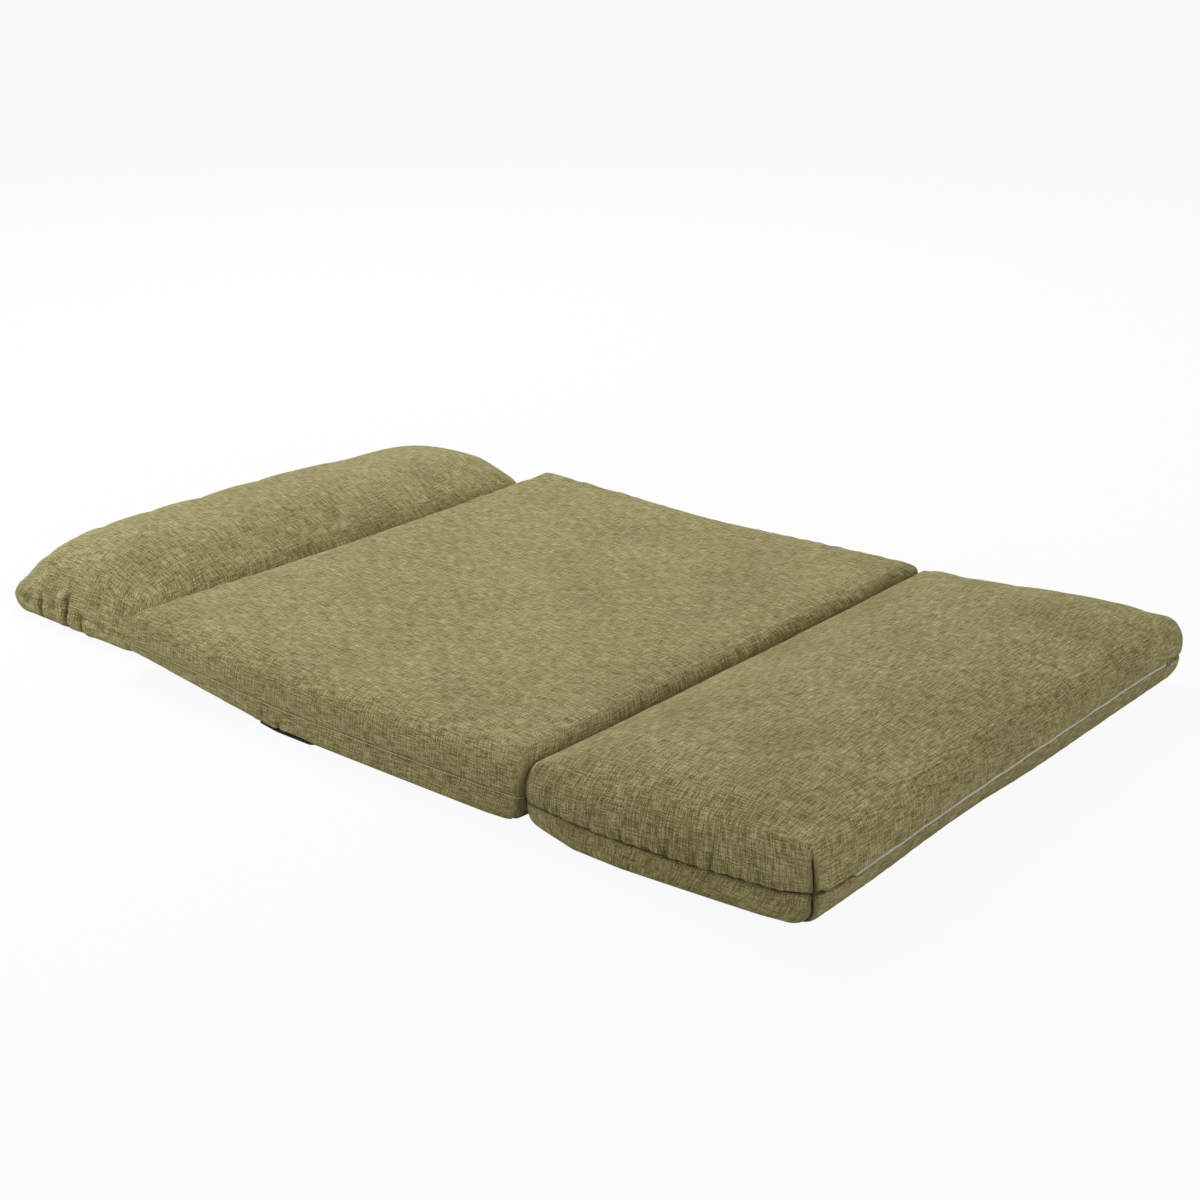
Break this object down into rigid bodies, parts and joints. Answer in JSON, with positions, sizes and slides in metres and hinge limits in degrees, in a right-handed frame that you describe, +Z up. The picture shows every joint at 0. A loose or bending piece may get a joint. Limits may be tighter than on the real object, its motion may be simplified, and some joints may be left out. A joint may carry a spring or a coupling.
{
  "type": "sofa bed",
  "caption": "Floor sofa bed lying open: a padded slab that folds at a middle crease into seat and back, with a head pillow and a thick boxed foot cushion at its ends.",
  "frame": {"origin": "Centre of the bounding box in X and Y, on the floor at Z = 0, with the bed lying open.", "axes": "+X from the head pillow to the foot cushion, +Y to the rear long side, +Z up. The picture is taken from the front right, above the foot cushion's front corner."},
  "size_m": [1.892, 1.1196, 0.1514],
  "materials": {
    "cover_weave": "olive green slubby chenille weave, matt",
    "base_lining": "black non-woven lining under the slab",
    "foam": "cream open-cell foam",
    "fibre_filling": "white fibre filling",
    "frame_steel": "black powder-coated tube",
    "strap_webbing": "dark woven webbing",
    "zip_tape": "cream woven tape",
    "zip_coil": "cream plastic coil",
    "zip_metal": "plain metal",
    "hinge_zinc": "zinc-plated steel"
  },
  "bodies": {
    "seat": {"seat_cover": "cover_weave", "seat_lining": "base_lining", "seat_foam": "foam", "seat_base_pad": "fibre_filling", "seat_cross_tube_inner": "frame_steel", "seat_cross_tube_outer": "frame_steel", "seat_fold_flap": "cover_weave", "seat_rail_front": "frame_steel", "seat_rail_rear": "frame_steel", "seat_strap_1": "strap_webbing", "seat_strap_2": "strap_webbing", "seat_strap_3": "strap_webbing", "crease_cover": "cover_weave", "crease_foam": "foam", "ratchet_plate_front": "hinge_zinc", "ratchet_plate_rear": "hinge_zinc", "pivot_rivet_front": "hinge_zinc", "pivot_rivet_rear": "hinge_zinc"},
    "back": {"back_cover": "cover_weave", "back_lining": "base_lining", "back_foam": "foam", "back_base_pad": "fibre_filling", "back_cross_tube_inner": "frame_steel", "back_cross_tube_outer": "frame_steel", "back_fold_flap": "cover_weave", "back_rail_front": "frame_steel", "back_rail_rear": "frame_steel", "back_strap_1": "strap_webbing", "back_strap_2": "strap_webbing", "back_strap_3": "strap_webbing", "hinge_plate_front": "hinge_zinc", "hinge_plate_rear": "hinge_zinc", "pawl_front": "hinge_zinc", "pawl_rear": "hinge_zinc", "pawl_pin_front": "hinge_zinc", "pawl_pin_rear": "hinge_zinc", "pawl_spring_front": "hinge_zinc", "pawl_spring_rear": "hinge_zinc"},
    "pillow": {"head_cover": "cover_weave", "head_underside": "cover_weave", "head_filling": "fibre_filling", "head_fold_flap": "cover_weave"},
    "foot": {"foot_cover": "cover_weave", "foot_band": "cover_weave", "foot_base_panel": "cover_weave", "foot_foam": "foam", "foot_fibre_layer": "fibre_filling", "foot_fold_flap": "cover_weave", "zip_tape_upper": "zip_tape", "zip_tape_lower": "zip_tape", "zip_coil": "zip_coil", "zip_stop_front": "zip_metal", "zip_stop_rear": "zip_metal"},
    "slider": {"zip_slider": "zip_metal"},
    "pull": {"zip_pull": "zip_metal"}
  },
  "joints": [
    {"name": "back_fold", "type": "hinge", "parent": "seat", "child": "back", "pos_m": [-0.03405, 0, 0.028], "axis": [0, 1, 0], "range_deg": [0, 90], "deforming": ["crease_cover", "crease_foam"]},
    {"name": "pillow_fold", "type": "hinge", "parent": "back", "child": "pillow", "pos_m": [-0.49505, 0, -0.0005], "axis": [0, -1, 0], "range_deg": [0, 180]},
    {"name": "foot_fold", "type": "hinge", "parent": "seat", "child": "foot", "pos_m": [0.42695, 0, -0.0005], "axis": [0, 1, 0], "range_deg": [0, 180]},
    {"name": "zip_slide", "type": "slide", "parent": "foot", "child": "slider", "axis": [0, -1, 0], "range_m": [0, 0.945]},
    {"name": "pull_turn", "type": "hinge", "parent": "slider", "child": "pull", "pos_m": [0.94405, 0.4945, 0.058], "axis": [0, 0, -1], "range_deg": [0, 180]}
  ],
  "couplings": [
    {"joint": "pillow_fold", "follows": "back_fold", "ratio": 2}
  ]
}
